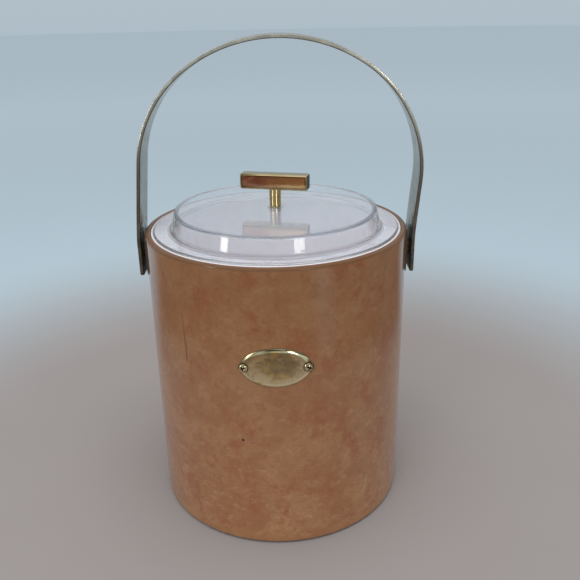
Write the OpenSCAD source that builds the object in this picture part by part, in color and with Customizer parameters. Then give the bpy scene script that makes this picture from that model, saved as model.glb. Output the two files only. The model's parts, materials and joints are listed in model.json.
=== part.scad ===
// Insulated ice bucket with a loose clear lid, a T-bar knob and a flat bail handle.
// Origin: centre of the foot, on the surface it stands on. The plaque faces -Y, the bail's pivots
// lie along X.

/* [Body] */
// Outside diameter of the wrapped body
body_d = 184; // [176:1:192]
// Height of the body's top edge
body_h = 206; // [195:1:220]
// Thickness of the vinyl wrap
wrap_t = 0.7; // [0.5:0.1:0.9]
// Wall of the board tube
tube_wall = 2.5; // [2.2:0.1:2.8]
// Rounding of the wrapped top edge
top_round = 1.6; // [1.2:0.1:2]
// Width of the wrap turned under the foot
hem_w = 9; // [6:1:12]
// Width of the seam where the wrap's ends meet at the back
seam_gap = 0.3; // [0.2:0.1:0.5]
// Thickness of the board disc in the foot
base_t = 3; // [2:0.5:4]
// Thickness of the felt pad underneath
pad_t = 1.2; // [1:0.1:1.5]

/* [Liner and insulation] */
// Wall of the plastic liner
liner_wall = 2.2; // [1.8:0.1:2.4]
// Inside radius of the liner at its mouth
liner_mouth_r = 76.5; // [74:0.5:77]
// Inside radius of the liner at its floor
liner_floor_r = 71.5; // [68:0.5:73]
// Height of the liner's floor, inside
liner_floor_z = 15; // [14:1:20]
// Chamfer between the liner's floor and wall
liner_chamfer = 7; // [4:1:9]
// Depth of the step that the lid sits in, below the top edge
seat_depth = 2.1; // [1.9:0.1:2.4]
// Width of the liner's rim outside that step
rim_w = 1.3; // [1.1:0.1:1.5]
// Wall of the foam sleeve
foam_wall = 8; // [7:0.5:8.2]
// Radius of the pockets in the foam for the pivot nuts
foam_pocket_r = 9; // [8:0.5:11]

/* [Lid] */
// Radius of the lid's flange
flange_r = 86.1; // [85:0.1:86.3]
// Thickness of the flange
flange_t = 3; // [2.5:0.1:3.2]
// Thickness of the raised part
lid_wall = 1.8; // [1.6:0.1:3]
// Height of the lid's top above the body's top edge
lid_rise = 13; // [11:0.5:15]
// Radius of the raised part at its top
plateau_r = 71; // [69:0.5:72]
// Radius of the raised part at its foot
plateau_foot_r = 73.8; // [73:0.1:75]
// Chamfer of the lid's edges
lid_chamfer = 1.2; // [0.8:0.1:1.4]

/* [Knob] */
// Length of the T-bar
bar_l = 48; // [40:1:56]
// Depth of the T-bar
bar_w = 9.6; // [9:0.1:12]
// Height of the T-bar
bar_h = 10.8; // [9:0.1:12]
// Chamfer of the bar's edges
bar_chamfer = 0.9; // [0.5:0.1:1.2]
// How far the bar is turned from the line of the pivots
bar_turn = -13; // [-90:1:90]
// Diameter of the stem
stem_d = 8.2; // [7.6:0.1:8.8]
// Length of the stem between lid and bar
stem_l = 12.5; // [10:0.5:16]
// Diameter of the lid screw
lid_screw_d = 4; // [3.5:0.5:4]

/* [Bail handle] */
// Width of the flat bail
bail_w = 28; // [24:1:30]
// Thickness of the flat bail
bail_t = 2.4; // [2:0.1:2.6]
// Half the outside width of the bail at its pivots
bail_half = 97.2; // [96.6:0.1:98]
// Height of the pivots
pivot_z = 188.5; // [184:0.5:190]
// Length of the bail below its pivots
lug_low = 15.5; // [14:0.5:17]
// Length of the upright stretch of the bail above its pivots
lug_high = 14; // [12:0.5:16]
// Corner radius of the bail's ends
lug_corner = 2.5; // [1.5:0.5:4]
// Outside radius of the bail's shoulders
shoulder_r = 84.4; // [83:0.1:86]
// Height of the shoulders' centres above the pivots
shoulder_z = 56.5; // [52:0.5:62]
// Distance of the shoulders' centres from the arch's centre line
shoulder_x = 12.1; // [10:0.1:13]
// Drop of the crown's centre below the shoulders' centres
crown_drop = 16.4; // [12:0.1:20]
// How far the arch of the used bail leans to one side
bail_lean = 4; // [0:0.5:4]

/* [Pivots] */
// Side of the square backing plate
plate_side = 28; // [22:1:30]
// Height of the backing plate's centre
plate_z = 187.3; // [182:0.1:190]
// Thickness of the backing plate
plate_t = 1; // [0.8:0.1:1.2]
// Corner radius of the backing plate
plate_corner = 2.5; // [1:0.5:4]
// Diameter of the collar between plate and bail
collar_d = 10.5; // [9:0.5:12]
// Diameter of the pivot screw where the bail turns on it
journal_d = 6; // [5:0.5:7]
// Diameter of the pivot screw's thread
pivot_thread_d = 4; // [3.5:0.5:4]
// Diameter of the pivot screw's head
pivot_head_d = 10; // [9:0.5:11]
// Height of the pivot screw's head
pivot_head_h = 1.7; // [1.4:0.1:2]

/* [Plaque] */
// Length of the oval plaque, along the wall
plaque_l = 46; // [40:1:50]
// Height of the oval plaque
plaque_h = 27.6; // [24:0.2:30]
// Thickness of the plaque
plaque_t = 1.2; // [1:0.1:1.5]
// Height of the plaque's centre
plaque_z = 139.8; // [120:0.2:150]
// Angle between the plaque's middle and each of its screws
plaque_screw_angle = 12.95; // [12:0.05:13.5]
// Diameter of a plaque screw's head
plaque_head_d = 6; // [5:0.2:7]
// Height of a plaque screw's head
plaque_head_h = 1.7; // [1.4:0.1:2]
// Diameter of a plaque screw's shank
plaque_shank_d = 2.6; // [2:0.1:3]

/* [Hidden] */
$fn = 96;
body_r = body_d / 2;
cut = 1;                    // how far a cutter runs past what it cuts
fit_gap = 0.1;              // gap between pieces that slide or turn on each other
running_gap = 0.06;         // radial gap of the bail's holes on the pivot screws
hole_gap = 0.2;             // radial gap of a plain clearance hole

// body
tube_r = body_r - wrap_t;
tube_in_r = tube_r - tube_wall;
hem_in_r = tube_in_r - wrap_t;
tube_z = pad_t + wrap_t;
tube_top = body_h - wrap_t;
inner_hem_l = 3;            // length of the wrap turned down inside the top edge
pad_r = body_r - 2.5;
base_top = tube_z + base_t;

// liner and insulation
rim_r = hem_in_r - hole_gap;
seat_r = rim_r - rim_w;
seat_z = body_h - seat_depth;
ledge_t = 2;
ledge_z = seat_z - ledge_t;
liner_z = liner_floor_z - liner_wall;
foam_r = tube_in_r - 1.3;
foam_in_r = foam_r - foam_wall;

// lid
flange_z = seat_z + hole_gap;
lid_top = body_h + lid_rise;
lid_bore_r = lid_screw_d / 2 + hole_gap;

// knob
stem_z = lid_top + fit_gap;
bar_z = stem_z + stem_l;
bar_top = bar_z + bar_h;
tenon_r = 2.8;
tenon_l = 5.5;
lid_washer_r = 6;
lid_washer_t = 0.8;
lid_washer_z = lid_top - lid_wall - fit_gap - lid_washer_t;
lid_head_r = 3.8;
lid_head_h = 2.2;
lid_thread_l = 10;          // length of the screw inside the stem
bolt_gap = 0.02;            // radial gap of a bolt in its thread

// bail
bail_in = bail_half - bail_t;
crown_r = shoulder_r + norm([shoulder_x, crown_drop]);
crown_angle = atan2(crown_drop, shoulder_x);
arc_step = 2.5;             // angle between two points of the bail's arcs
bail_bore_r = journal_d / 2 + running_gap;

// pivots
plate_r = body_r + plate_t;
collar_end = bail_in - fit_gap;
pivot_head_x = bail_half + fit_gap;
pivot_tip = tube_in_r - 4.6;
pivot_washer_x = sqrt(pow(tube_in_r, 2) - pow(6, 2)) - 0.05;
pivot_washer_r = 6;
pivot_washer_t = 1;
pivot_nut_r = 4;
pivot_nut_t = 2.4;

// cross recesses
recess_depth = 0.6;         // share of the head's height
recess_l = 0.62;            // share of the head's diameter
recess_w = 0.16;            // share of the head's diameter

// plaque
plaque_r = body_r + plaque_t;
plaque_screw_l = 5.5;

// ---------- shared shapes ----------

// a ring that stands between two heights
module ring(r_out, r_in, z_low, z_high) {
    translate([0, 0, z_low])
        difference() {
            cylinder(h = z_high - z_low, r = r_out);
            translate([0, 0, -cut])
                cylinder(h = z_high - z_low + 2 * cut, r = r_in);
        }
}

// a rod along X, from x_low to x_high, at the pivots' height
module pivot_rod(x_low, x_high, r) {
    translate([x_low, 0, pivot_z])
        rotate([0, 90, 0])
            cylinder(h = x_high - x_low, r = r);
}

// a rectangle round the origin with round corners
module round_rect(w, h, r) {
    square([w - 2 * r, h], center = true);
    square([w, h - 2 * r], center = true);
    for (x = [-1, 1], y = [-1, 1])
        translate([x * (w / 2 - r), y * (h / 2 - r)])
            circle(r = r);
}

// the cap of a sphere, standing on the origin
module dome(d, h) {
    ball_r = (pow(d / 2, 2) + pow(h, 2)) / (2 * h);
    intersection() {
        translate([0, 0, h - ball_r])
            sphere(r = ball_r);
        cylinder(h = h + cut, r = d / 2);
    }
}

// a round head on the origin with a cross recess in it
module cross_head(d, h) {
    difference() {
        dome(d, h);
        for (a = [0, 90])
            rotate([0, 0, a])
                translate([-d * recess_l / 2, -d * recess_w / 2, h * (1 - recess_depth)])
                    cube([d * recess_l, d * recess_w, h]);
    }
}

// puts what is drawn for the right-hand side (+X) on the left
module on_side(side) {
    mirror([side < 0 ? 1 : 0, 0, 0])
        children();
}

// places its children on the front wall at an angle from the plaque's middle: their +Z points out
module on_front(angle) {
    rotate([0, 0, angle])
        translate([0, 0, plaque_z])
            rotate([90, 0, 0])
                children();
}

// ---------- body ----------

module pivot_holes(r) {
    pivot_rod(-body_r - cut, body_r + cut, r);
}

module plaque_screw_holes(r) {
    for (side = [-1, 1])
        on_front(side * plaque_screw_angle)
            cylinder(h = body_r + 2 * cut, r = r);
}

// section of the wall's top edge, rounded outside
module edge_section(r_out, r_in, z_low, z_top, rounding) {
    translate([r_in, z_low])
        square([r_out - r_in - rounding, z_top - z_low]);
    translate([r_in, z_low])
        square([r_out - r_in, z_top - z_low - rounding]);
    translate([r_out - rounding, z_top - rounding])
        circle(r = rounding);
}

module shell_tube() {
    color("tan")
        difference() {
            rotate_extrude()
                edge_section(tube_r, tube_in_r, tube_z, tube_top, top_round - wrap_t);
            pivot_holes(pivot_thread_d / 2 + hole_gap);
            plaque_screw_holes(plaque_shank_d / 2);
        }
}

// the skin goes over the top edge and a little way down inside, and turns under the foot
module wrap_section() {
    difference() {
        edge_section(body_r, hem_in_r, pad_t, body_h, top_round);
        edge_section(tube_r, tube_in_r, tube_z, tube_top, top_round - wrap_t);
        translate([hem_in_r - cut, pad_t - cut])
            square([tube_in_r - hem_in_r + cut, body_h - inner_hem_l - pad_t + cut]);
    }
    translate([body_r - hem_w, pad_t])
        square([hem_w, wrap_t]);
}

module vinyl_wrap() {
    color("peru")
        difference() {
            rotate_extrude()
                wrap_section();
            translate([-seam_gap / 2, 0, 0])
                cube([seam_gap, body_r + cut, body_h + cut]);
            pivot_holes(pivot_thread_d / 2 + hole_gap);
            plaque_screw_holes(plaque_shank_d / 2);
        }
}

module base_disc() {
    color("burlywood")
        translate([0, 0, tube_z])
            cylinder(h = base_t, r = tube_in_r - hole_gap);
}

module base_pad() {
    color("saddlebrown")
        cylinder(h = pad_t, r = pad_r);
}

// ---------- liner and insulation ----------

module insulation_sleeve() {
    color("white")
        difference() {
            ring(foam_r, foam_in_r, base_top, ledge_z);
            for (side = [-1, 1])
                on_side(side)
                    pivot_rod(foam_in_r - 2 * cut, foam_r + cut, foam_pocket_r);
        }
}

module insulation_disc() {
    color("white")
        translate([0, 0, base_top])
            cylinder(h = liner_z - base_top, r = liner_floor_r);
}

// half of the liner's outline, from the middle of its floor out and up over the rim
module liner_section() {
    mouth_out = liner_mouth_r + liner_wall;
    floor_out = liner_floor_r + liner_wall;
    polygon([
        [0, liner_z],
        [floor_out - liner_chamfer, liner_z],
        [floor_out, liner_z + liner_chamfer],
        [mouth_out, ledge_z],
        [rim_r, ledge_z],
        [rim_r, body_h],
        [seat_r, body_h],
        [seat_r, seat_z],
        [liner_mouth_r, seat_z],
        [liner_floor_r, liner_floor_z + liner_chamfer],
        [liner_floor_r - liner_chamfer, liner_floor_z],
        [0, liner_floor_z]
    ]);
}

module liner() {
    color("whitesmoke")
        rotate_extrude()
            liner_section();
}

// ---------- lid ----------

module lid_section() {
    foot_in = plateau_foot_r - lid_wall;
    top_in = plateau_r - lid_wall;
    flange_top = flange_z + flange_t;
    polygon([
        [0, lid_top - lid_wall],
        [top_in - lid_chamfer, lid_top - lid_wall],
        [top_in, lid_top - lid_wall - lid_chamfer],
        [foot_in, flange_top],
        [foot_in, flange_z],
        [flange_r, flange_z],
        [flange_r, flange_top - lid_chamfer / 2],
        [flange_r - lid_chamfer / 2, flange_top],
        [plateau_foot_r + lid_chamfer, flange_top],
        [plateau_foot_r, flange_top + lid_chamfer],
        [plateau_r, lid_top - lid_chamfer],
        [plateau_r - lid_chamfer, lid_top],
        [0, lid_top]
    ]);
}

module lid_cover() {
    color("lightblue", 0.4)
        difference() {
            rotate_extrude()
                lid_section();
            translate([0, 0, lid_top - lid_wall - cut])
                cylinder(h = lid_wall + 2 * cut, r = lid_bore_r);
        }
}

// ---------- knob ----------

// a centred rectangle with its corners cut off
module cut_rect(w, h, c) {
    x = w / 2;
    y = h / 2;
    polygon([
        [x - c, -y], [x, c - y], [x, y - c], [x - c, y],
        [c - x, y], [-x, y - c], [-x, c - y], [c - x, -y]
    ]);
}

module knob_bar() {
    color("goldenrod")
        rotate([0, 0, bar_turn])
            difference() {
                translate([0, 0, bar_z + bar_h / 2])
                    intersection() {
                        rotate([90, 0, 90])
                            linear_extrude(height = bar_l, center = true)
                                cut_rect(bar_w, bar_h, bar_chamfer);
                        rotate([90, 0, 0])
                            linear_extrude(height = bar_w, center = true)
                                cut_rect(bar_l, bar_h, bar_chamfer);
                        linear_extrude(height = bar_h, center = true)
                            cut_rect(bar_l, bar_w, bar_chamfer);
                    }
                translate([0, 0, bar_z - cut])
                    cylinder(h = tenon_l + cut + bolt_gap, r = tenon_r + bolt_gap);
            }
}

module knob_stem() {
    color("goldenrod")
        difference() {
            union() {
                translate([0, 0, stem_z])
                    cylinder(h = stem_l, r = stem_d / 2);
                translate([0, 0, bar_z])
                    cylinder(h = tenon_l, r = tenon_r);
            }
            translate([0, 0, stem_z - cut])
                cylinder(h = lid_thread_l + 2 * cut, r = lid_screw_d / 2 + bolt_gap);
        }
}

module knob_washer() {
    color("silver")
        ring(lid_washer_r, lid_bore_r, lid_washer_z, lid_washer_z + lid_washer_t);
}

module knob_screw() {
    color("silver") {
        translate([0, 0, lid_washer_z])
            cylinder(h = stem_z + lid_thread_l - lid_washer_z, r = lid_screw_d / 2);
        translate([0, 0, lid_washer_z])
            mirror([0, 0, 1])
                difference() {
                    cylinder(h = lid_head_h, r = lid_head_r);
                    translate([-lid_head_r - cut, -lid_head_r * recess_w, lid_head_h / 2])
                        cube([2 * (lid_head_r + cut), 2 * lid_head_r * recess_w, lid_head_h]);
                }
    }
}

// ---------- bail handle ----------

// angle of the outward normal at which a line from a point meets a circle, the circle on its left
function tangent_angle(point, centre, r) =
    let(d = point - centre)
    atan2(d[1], d[0]) + acos(r / norm(d));

function arc_points(centre, r, a_low, a_high) =
    let(n = ceil((a_high - a_low) / arc_step))
    [for (i = [0:n]) let(a = a_low + (a_high - a_low) * i / n) centre + r * [cos(a), sin(a)]];

function reversed(points) = [for (i = [len(points) - 1:-1:0]) points[i]];

function mirrored(points) = [for (p = points) [-p[0], p[1]]];

// one side of the bail, seen from the front, from its end up to the crown, drawn in by an inset;
// the arch's centre line stands at x = lean
function side_path(lean, inset) =
    let(
        centre = [lean + shoulder_x, shoulder_z],
        a = tangent_angle([bail_half, lug_high], centre, shoulder_r)
    )
    concat(
        [
            [bail_half - inset, -lug_low],
            [bail_half - inset, lug_high - inset * tan(a / 2)]
        ],
        arc_points(centre, shoulder_r - inset, a, crown_angle)
    );

// the whole bail from its right end over to its left end; the shoulders bring the crown's ends
function bail_path(inset) =
    let(
        crown_centre = [bail_lean, shoulder_z - crown_drop],
        first = crown_angle + arc_step,
        last = 180 - crown_angle - arc_step
    )
    concat(
        side_path(bail_lean, inset),
        arc_points(crown_centre, crown_r - inset, first, last),
        reversed(mirrored(side_path(-bail_lean, inset)))
    );

module bail_outline() {
    polygon(concat(bail_path(0), reversed(bail_path(bail_t))));
}

// what is cut away to round a lower corner of the bail's end
module lug_corner_cut() {
    translate([bail_in - cut, bail_w / 2 - lug_corner, -lug_low - cut])
        difference() {
            cube([bail_t + 2 * cut, lug_corner + cut, lug_corner + cut]);
            translate([-cut, 0, lug_corner + cut])
                rotate([0, 90, 0])
                    cylinder(h = bail_t + 4 * cut, r = lug_corner);
        }
}

module handle_band() {
    color("darkkhaki")
        difference() {
            translate([0, 0, pivot_z])
                difference() {
                    rotate([90, 0, 0])
                        linear_extrude(height = bail_w, center = true)
                            bail_outline();
                    for (side = [0, 1], edge = [0, 1])
                        mirror([side, 0, 0])
                            mirror([0, edge, 0])
                                lug_corner_cut();
                }
            pivot_rod(-bail_half - cut, bail_half + cut, bail_bore_r);
        }
}

// ---------- pivots ----------

// a square plate bent to the wall
module pivot_plate(side) {
    color("darkkhaki")
        on_side(side)
            difference() {
                intersection() {
                    ring(plate_r, body_r, plate_z - plate_side, plate_z + plate_side);
                    translate([0, 0, plate_z])
                        rotate([90, 0, 90])
                            linear_extrude(height = plate_r + cut)
                                round_rect(plate_side, plate_side, plate_corner);
                }
                pivot_rod(body_r - 4 * cut, plate_r + cut, pivot_thread_d / 2 + hole_gap);
            }
}

module pivot_collar(side) {
    color("darkgoldenrod")
        on_side(side)
            difference() {
                pivot_rod(plate_r, collar_end, collar_d / 2);
                pivot_rod(plate_r - cut, collar_end + cut, journal_d / 2 + running_gap);
            }
}

module pivot_screw(side) {
    color("darkgoldenrod")
        on_side(side) {
            pivot_rod(pivot_tip, pivot_head_x, pivot_thread_d / 2);
            pivot_rod(plate_r, pivot_head_x, journal_d / 2);
            translate([pivot_head_x, 0, pivot_z])
                rotate([0, 90, 0])
                    cross_head(pivot_head_d, pivot_head_h);
        }
}

module pivot_washer(side) {
    color("silver")
        on_side(side)
            difference() {
                pivot_rod(pivot_washer_x - pivot_washer_t, pivot_washer_x, pivot_washer_r);
                pivot_rod(pivot_tip, body_r, pivot_thread_d / 2 + hole_gap);
            }
}

module pivot_nut(side) {
    color("silver")
        on_side(side)
            difference() {
                translate([pivot_washer_x - pivot_washer_t - pivot_nut_t, 0, pivot_z])
                    rotate([0, 90, 0])
                        cylinder(h = pivot_nut_t, r = pivot_nut_r, $fn = 6);
                pivot_rod(pivot_tip - 2 * cut, body_r, pivot_thread_d / 2 + bolt_gap);
            }
}

// ---------- plaque ----------

function oval(l, h, n = 72) =
    [for (i = [0:n - 1]) [l / 2 * cos(360 * i / n), h / 2 * sin(360 * i / n)]];

// an oval plate bent to the wall: the flat outline is as long as the bent plate's chord
module plaque() {
    chord = 2 * body_r * sin(plaque_l / body_d * 180 / PI);
    color("darkkhaki")
        difference() {
            intersection() {
                ring(plaque_r, body_r, plaque_z - plaque_h, plaque_z + plaque_h);
                on_front(0)
                    linear_extrude(height = plaque_r + cut)
                        polygon(oval(chord, plaque_h));
            }
            plaque_screw_holes(plaque_shank_d / 2 + hole_gap);
        }
}

module plaque_screw(side) {
    head_z = plaque_r + fit_gap / 2;
    color("goldenrod")
        on_front(side * plaque_screw_angle) {
            translate([0, 0, head_z - plaque_screw_l])
                cylinder(h = plaque_screw_l, r = plaque_shank_d / 2);
            translate([0, 0, head_z])
                cross_head(plaque_head_d, plaque_head_h);
        }
}

shell_tube();
vinyl_wrap();
base_disc();
base_pad();
insulation_sleeve();
insulation_disc();
liner();
pivot_plate(-1);  // left_pivot_plate
pivot_plate(1);  // right_pivot_plate
pivot_collar(-1);  // left_pivot_collar
pivot_collar(1);  // right_pivot_collar
pivot_screw(-1);  // left_pivot_screw
pivot_screw(1);  // right_pivot_screw
pivot_washer(-1);  // left_pivot_washer
pivot_washer(1);  // right_pivot_washer
pivot_nut(-1);  // left_pivot_nut
pivot_nut(1);  // right_pivot_nut
plaque();
plaque_screw(-1);  // plaque_screw_left
plaque_screw(1);  // plaque_screw_right
handle_band();
lid_cover();
knob_bar();
knob_stem();
knob_screw();
knob_washer();
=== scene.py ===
import json
from math import acos, asin, atan2, ceil, cos, exp, hypot, pi, radians, sin, sqrt, tan

import bmesh
import bpy
from mathutils import Matrix, Vector, noise


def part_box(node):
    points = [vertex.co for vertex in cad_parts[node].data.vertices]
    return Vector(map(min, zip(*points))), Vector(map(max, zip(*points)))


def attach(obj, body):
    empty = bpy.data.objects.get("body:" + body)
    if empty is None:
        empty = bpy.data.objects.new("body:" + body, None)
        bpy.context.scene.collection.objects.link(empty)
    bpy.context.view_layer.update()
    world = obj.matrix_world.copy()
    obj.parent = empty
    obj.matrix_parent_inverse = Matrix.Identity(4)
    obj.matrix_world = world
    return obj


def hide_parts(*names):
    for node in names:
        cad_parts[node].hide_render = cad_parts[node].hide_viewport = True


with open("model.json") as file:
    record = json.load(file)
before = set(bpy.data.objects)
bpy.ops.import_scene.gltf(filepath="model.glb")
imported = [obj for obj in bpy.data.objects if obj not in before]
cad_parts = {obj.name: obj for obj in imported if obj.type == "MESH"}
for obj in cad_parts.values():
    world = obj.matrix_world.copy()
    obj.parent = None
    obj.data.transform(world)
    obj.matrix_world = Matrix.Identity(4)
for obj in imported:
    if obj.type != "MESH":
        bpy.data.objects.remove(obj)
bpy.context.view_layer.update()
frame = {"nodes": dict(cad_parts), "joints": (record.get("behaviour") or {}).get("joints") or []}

MM = 0.001
UP = Vector((0, 0, 1))

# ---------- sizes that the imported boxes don't give, in metres ----------

WRAP_T = 0.7 * MM
TUBE_WALL = 2.5 * MM
HEM_W = 9 * MM               # wrap turned under the foot
INNER_HEM = 3 * MM           # wrap turned down inside the mouth
SEAM_HALF = 0.15 * MM

PLAQUE_L = 46 * MM
PLAQUE_T = 1.2 * MM
PLAQUE_SCREW_ANGLE = radians(12.95)
PLATE_T = 1 * MM             # the plates behind the bail's ends
PIVOT_BORE_R = 3.06 * MM     # in the bail and the collars

LID_TOP_R = 71 * MM
LID_FLANGE_T = 3 * MM

BAR_L, BAR_W = 48 * MM, 9.6 * MM
BAR_CHAMFER = 0.9 * MM
BAR_TURN = radians(-13)

# bail: middle line of the band in the plane of the arch, measured from the pivots
BAIL_T = 2.4 * MM
BAIL_W = 28 * MM
BAIL_HALF = 97.2 * MM
BAIL_LEAN = 4 * MM
LUG_LOW = 15.5 * MM
LUG_HIGH = 14 * MM
LUG_CORNER = 2.5 * MM
LUG_PATCH = 9 * MM           # the band's end piece with the pivot hole reaches this far above the hole
SHOULDER_R = 84.4 * MM
SHOULDER_X = 12.1 * MM
SHOULDER_Z = 56.5 * MM
CROWN_DROP = 16.4 * MM
CROWN = atan2(CROWN_DROP, SHOULDER_X)        # where the shoulders' arcs meet the crown's
BAIL_EDGE = 1.05 * MM        # rounding of the band's edges
BAIL_ROWS = 8                # rows of faces across the band
BAIL_ACROSS = [BAIL_W / 2 - BAIL_W * k / BAIL_ROWS for k in range(BAIL_ROWS + 1)]

SMOOTH = radians(35)         # edges flatter than this are shaded smooth
TURN_STEPS = 192             # faces round a turned piece
CORNER_STEP = radians(12)
ARC_STEP = radians(2)
BRACE = 0.2 * MM             # distance of a supporting loop from a corner


# ---------- packed boxes ----------

WRAP_LOW, WRAP_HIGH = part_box("vinyl_wrap")
LINER_LOW, LINER_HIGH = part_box("liner")
PAD_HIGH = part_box("base_pad")[1]
PLAQUE_LOW, PLAQUE_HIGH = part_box("plaque")
LID_LOW, LID_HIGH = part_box("lid_cover")
STEM_LOW, STEM_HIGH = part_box("knob_stem")
WASHER_LOW, WASHER_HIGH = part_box("knob_washer")
SCREW_LOW, SCREW_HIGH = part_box("knob_screw")
BAR_LOW, BAR_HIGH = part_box("knob_bar")
PIVOT_Z = frame["joints"][0]["pos_m"][2]

BODY_R = WRAP_HIGH.x
BODY_H = WRAP_HIGH.z
TUBE_IN_R = BODY_R - WRAP_T - TUBE_WALL
HEM_IN_R = TUBE_IN_R - WRAP_T
PLAQUE_Z = (PLAQUE_LOW.z + PLAQUE_HIGH.z) / 2
PLAQUE_H = PLAQUE_HIGH.z - PLAQUE_LOW.z

SIDES = {-1: "left", 1: "right"}


# ---------- mesh helpers ----------

def new_piece(name, verts, faces, smooth_angle=SMOOTH, weld=1e-7, fill=False):
    """A mesh object with its faces turned outwards and shaded smooth up to smooth_angle. Points closer
    than weld become one, and fill closes its open ends."""
    mesh = bpy.data.meshes.new(name)
    mesh.from_pydata([tuple(v) for v in verts], [], faces)
    shape = bmesh.new()
    shape.from_mesh(mesh)
    bmesh.ops.remove_doubles(shape, verts=shape.verts, dist=weld)
    if fill:
        bmesh.ops.holes_fill(shape, edges=[e for e in shape.edges if e.is_boundary], sides=0)
    bmesh.ops.recalc_face_normals(shape, faces=shape.faces)
    return piece_of(name, shape, smooth_angle)


def add_object(name, data):
    made = bpy.data.objects.new(name, data)
    bpy.context.scene.collection.objects.link(made)
    return made


def piece_of(name, shape, smooth_angle=SMOOTH):
    """A mesh object of a bmesh, which is used up."""
    mesh = bpy.data.meshes.new(name)
    shape.to_mesh(mesh)
    shape.free()
    return shaded(add_object(name, mesh), smooth_angle)


def shaded(piece, smooth_angle=SMOOTH):
    piece.data.shade_smooth()
    piece.data.set_sharp_from_angle(angle=smooth_angle)
    return piece


def bands(starts, count, loop=True):
    """Faces between rows of count points, given by their first points. loop joins a row's ends too."""
    return [(a + k, a + (k + 1) % count, b + (k + 1) % count, b + k)
            for a, b in zip(starts, starts[1:]) for k in range(count if loop else count - 1)]


def skin(name, rings, closed=False, **settings):
    """Joins rings of points with faces. A ring of one point is a pole; closed joins the last to the
    first."""
    verts, rows = [], []
    for ring in rings:
        rows.append((len(verts), len(ring)))
        verts += ring
    faces = []
    for (a, a_count), (b, b_count) in zip(rows, rows[1:] + rows[:1] if closed else rows[1:]):
        count = max(a_count, b_count)
        if a_count == b_count > 1:
            faces += bands((a, b), count)
        elif a_count < b_count:
            faces += [(a, b + k, b + (k + 1) % count) for k in range(count)]
        elif b_count < a_count:
            faces += [(a + k, a + (k + 1) % count, b) for k in range(count)]
    return new_piece(name, verts, faces, **settings)


def rounded(corners):
    """The points of a closed outline whose corners (x, y, radius) are rounded with arcs. A corner
    without a radius stays sharp."""
    points = []
    for i, (x, y, *radius) in enumerate(corners):
        here = Vector((x, y))
        if not radius:
            points.append(here)
            continue
        before = (Vector(corners[i - 1][:2]) - here).normalized()
        after = (Vector(corners[(i + 1) % len(corners)][:2]) - here).normalized()
        half = before.angle(after) / 2
        centre = here + (before + after).normalized() * radius[0] / sin(half)
        first = here + before * radius[0] / tan(half) - centre
        turn = pi - 2 * half
        if before.x * after.y - before.y * after.x > 0:
            turn = -turn
        steps = max(2, ceil(abs(turn) / CORNER_STEP))
        for k in range(steps + 1):
            t = turn * k / steps
            points.append(centre + Matrix.Rotation(t, 2) @ first)
    return points


def divided(points, longest):
    """The same closed outline with extra points, so that no side is longer than longest."""
    result = []
    for here, there in zip(points, points[1:] + points[:1]):
        count = max(1, ceil((there - here).length / longest))
        result += [here.lerp(there, k / count) for k in range(count)]
    return result


def braced(points):
    """The same closed outline with a point close to both ends of each long side, so that flat sides
    are shaded flat."""
    result = []
    for here, there in zip(points, points[1:] + points[:1]):
        result.append(here)
        length = (there - here).length
        if length > 4 * BRACE:
            result += [here.lerp(there, BRACE / length), here.lerp(there, 1 - BRACE / length)]
    return result


def turns(steps):
    return [2 * pi * k / steps for k in range(steps)]


def turned(r, z, steps=TURN_STEPS):
    """One ring of points round Z, or the one point on the axis."""
    if r < 1e-9:
        return [Vector((0, 0, z))]
    return [Vector((r * cos(t), r * sin(t), z)) for t in turns(steps)]


def lathe(name, corners, steps=TURN_STEPS):
    """A closed outline of (r, z, corner radius) turned round Z."""
    outline = braced(rounded(corners))
    hollow = all(p.x > 1e-9 for p in outline)
    return skin(name, [turned(p.x, p.y, steps) for p in outline], hollow)


def placed(piece, matrix):
    """Moves a piece's own points, so that its object stays at the origin."""
    piece.data.transform(matrix)
    piece.data.update()
    return piece


def round_edges(piece, width, segments=2):
    """Rounds the piece's sharp edges."""
    bevel = piece.modifiers.new("edges", "BEVEL")
    bevel.width = width
    bevel.segments = segments
    bevel.limit_method = "ANGLE"
    bevel.angle_limit = radians(40)
    return piece


def settle(piece):
    """Applies the piece's modifiers to its mesh."""
    evaluated = piece.evaluated_get(bpy.context.evaluated_depsgraph_get())
    mesh = bpy.data.meshes.new_from_object(evaluated)
    piece.modifiers.clear()
    piece.data = mesh
    return piece


def carve(piece, *cutters):
    """Takes the cutters out of a piece."""
    for cutter in cutters:
        cut = piece.modifiers.new("cut", "BOOLEAN")
        cut.operation = "DIFFERENCE"
        cut.object = cutter
        cut.solver = "EXACT"
    bpy.context.view_layer.update()
    settle(piece)
    for cutter in cutters:
        bpy.data.objects.remove(cutter)
    return piece


def block(low, high):
    """A box between two corners, used only to cut with."""
    corners = [(x, y, z) for x in (low[0], high[0]) for y in (low[1], high[1]) for z in (low[2], high[2])]
    faces = [(0, 1, 3, 2), (4, 6, 7, 5), (0, 4, 5, 1), (2, 3, 7, 6), (0, 2, 6, 4), (1, 5, 7, 3)]
    return new_piece("cutter", corners, faces)


def screw_head(name, d, h):
    """A round screw head on the origin with a cross recess and a rolled rim."""
    rim = 0.2 * h
    ball_r = ((d / 2) ** 2 + (h - rim) ** 2) / (2 * (h - rim))
    top_angle = asin(d / 2 / ball_r)
    steps = 9
    corners = [(0, 0), (d / 2, 0), (d / 2, rim)]
    for k in range(1, steps):
        t = top_angle * (1 - k / steps)
        corners.append((ball_r * sin(t), h - ball_r + ball_r * cos(t)))
    head = lathe(name, corners + [(0, h)], 72)
    arm, half, floor_z = 0.31 * d, 0.075 * d, 0.45 * h
    cutters = [block((-x, -y, floor_z), (x, y, 2 * h)) for x, y in ((arm, half), (half, arm))]
    return round_edges(carve(head, *cutters), 0.012 * d)


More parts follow.
